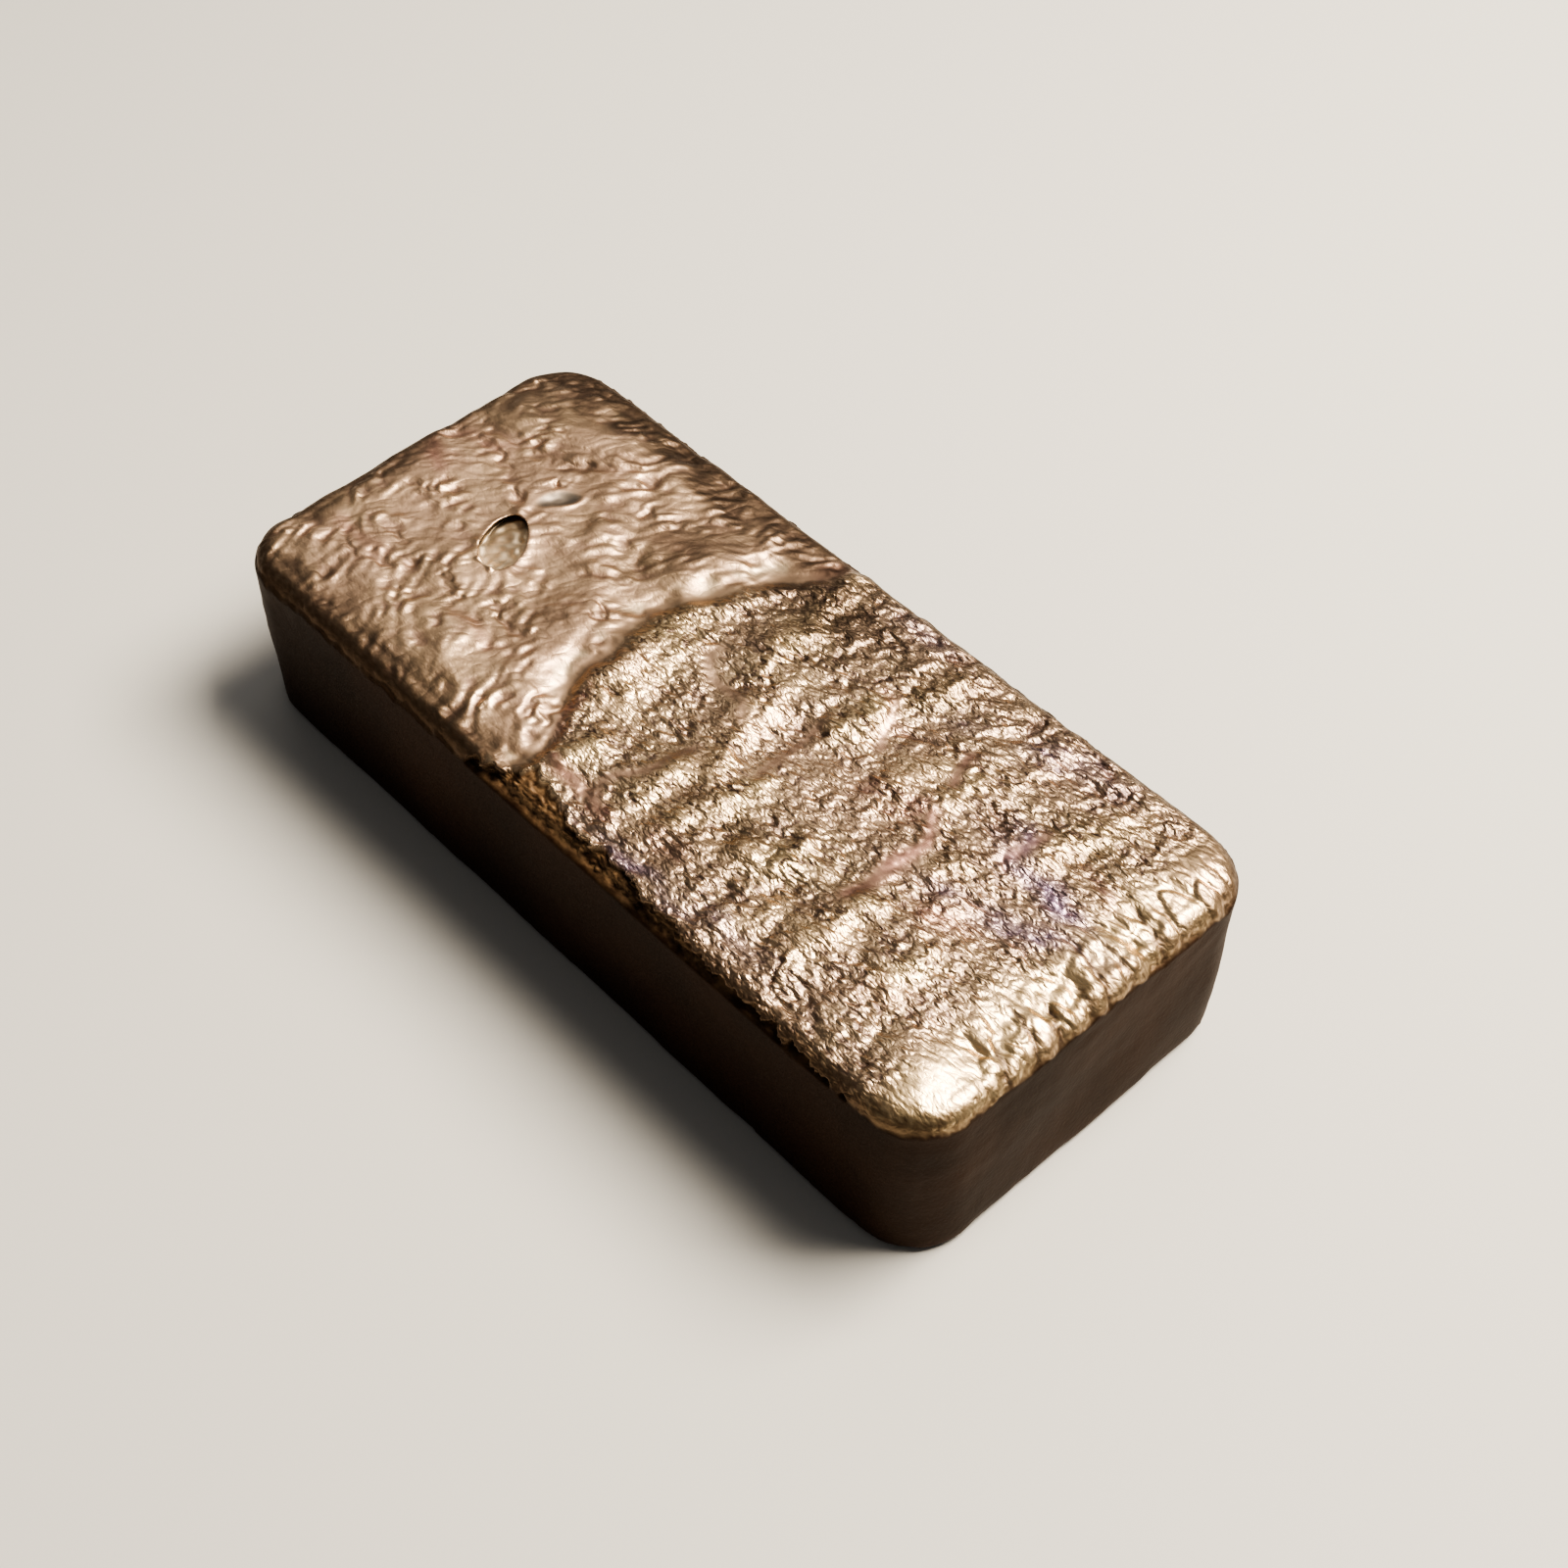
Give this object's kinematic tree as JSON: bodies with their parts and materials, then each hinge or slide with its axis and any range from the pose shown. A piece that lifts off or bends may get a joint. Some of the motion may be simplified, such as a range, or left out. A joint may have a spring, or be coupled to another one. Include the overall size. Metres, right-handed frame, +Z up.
{
  "type": "cast copper bar",
  "caption": "Hand-poured copper ingot: a solid rounded bar with smooth mould-cast walls and a wrinkled open-pour top with a cold lap and a burst gas blister.",
  "frame": {"origin": "middle of the flat base, on the surface the bar rests on", "axes": "+X along the bar's length, +Y across its width, +Z up out of the mould's open face; +X is the end the second pour came from"},
  "size_m": [0.106, 0.0484, 0.0228],
  "materials": {
    "copper": "raw cast copper: crumpled satin metal with heat tints on the open face, matt brown oxide on the mould faces"
  },
  "bodies": {
    "root": {"ingot": "copper"}
  },
  "joints": []
}
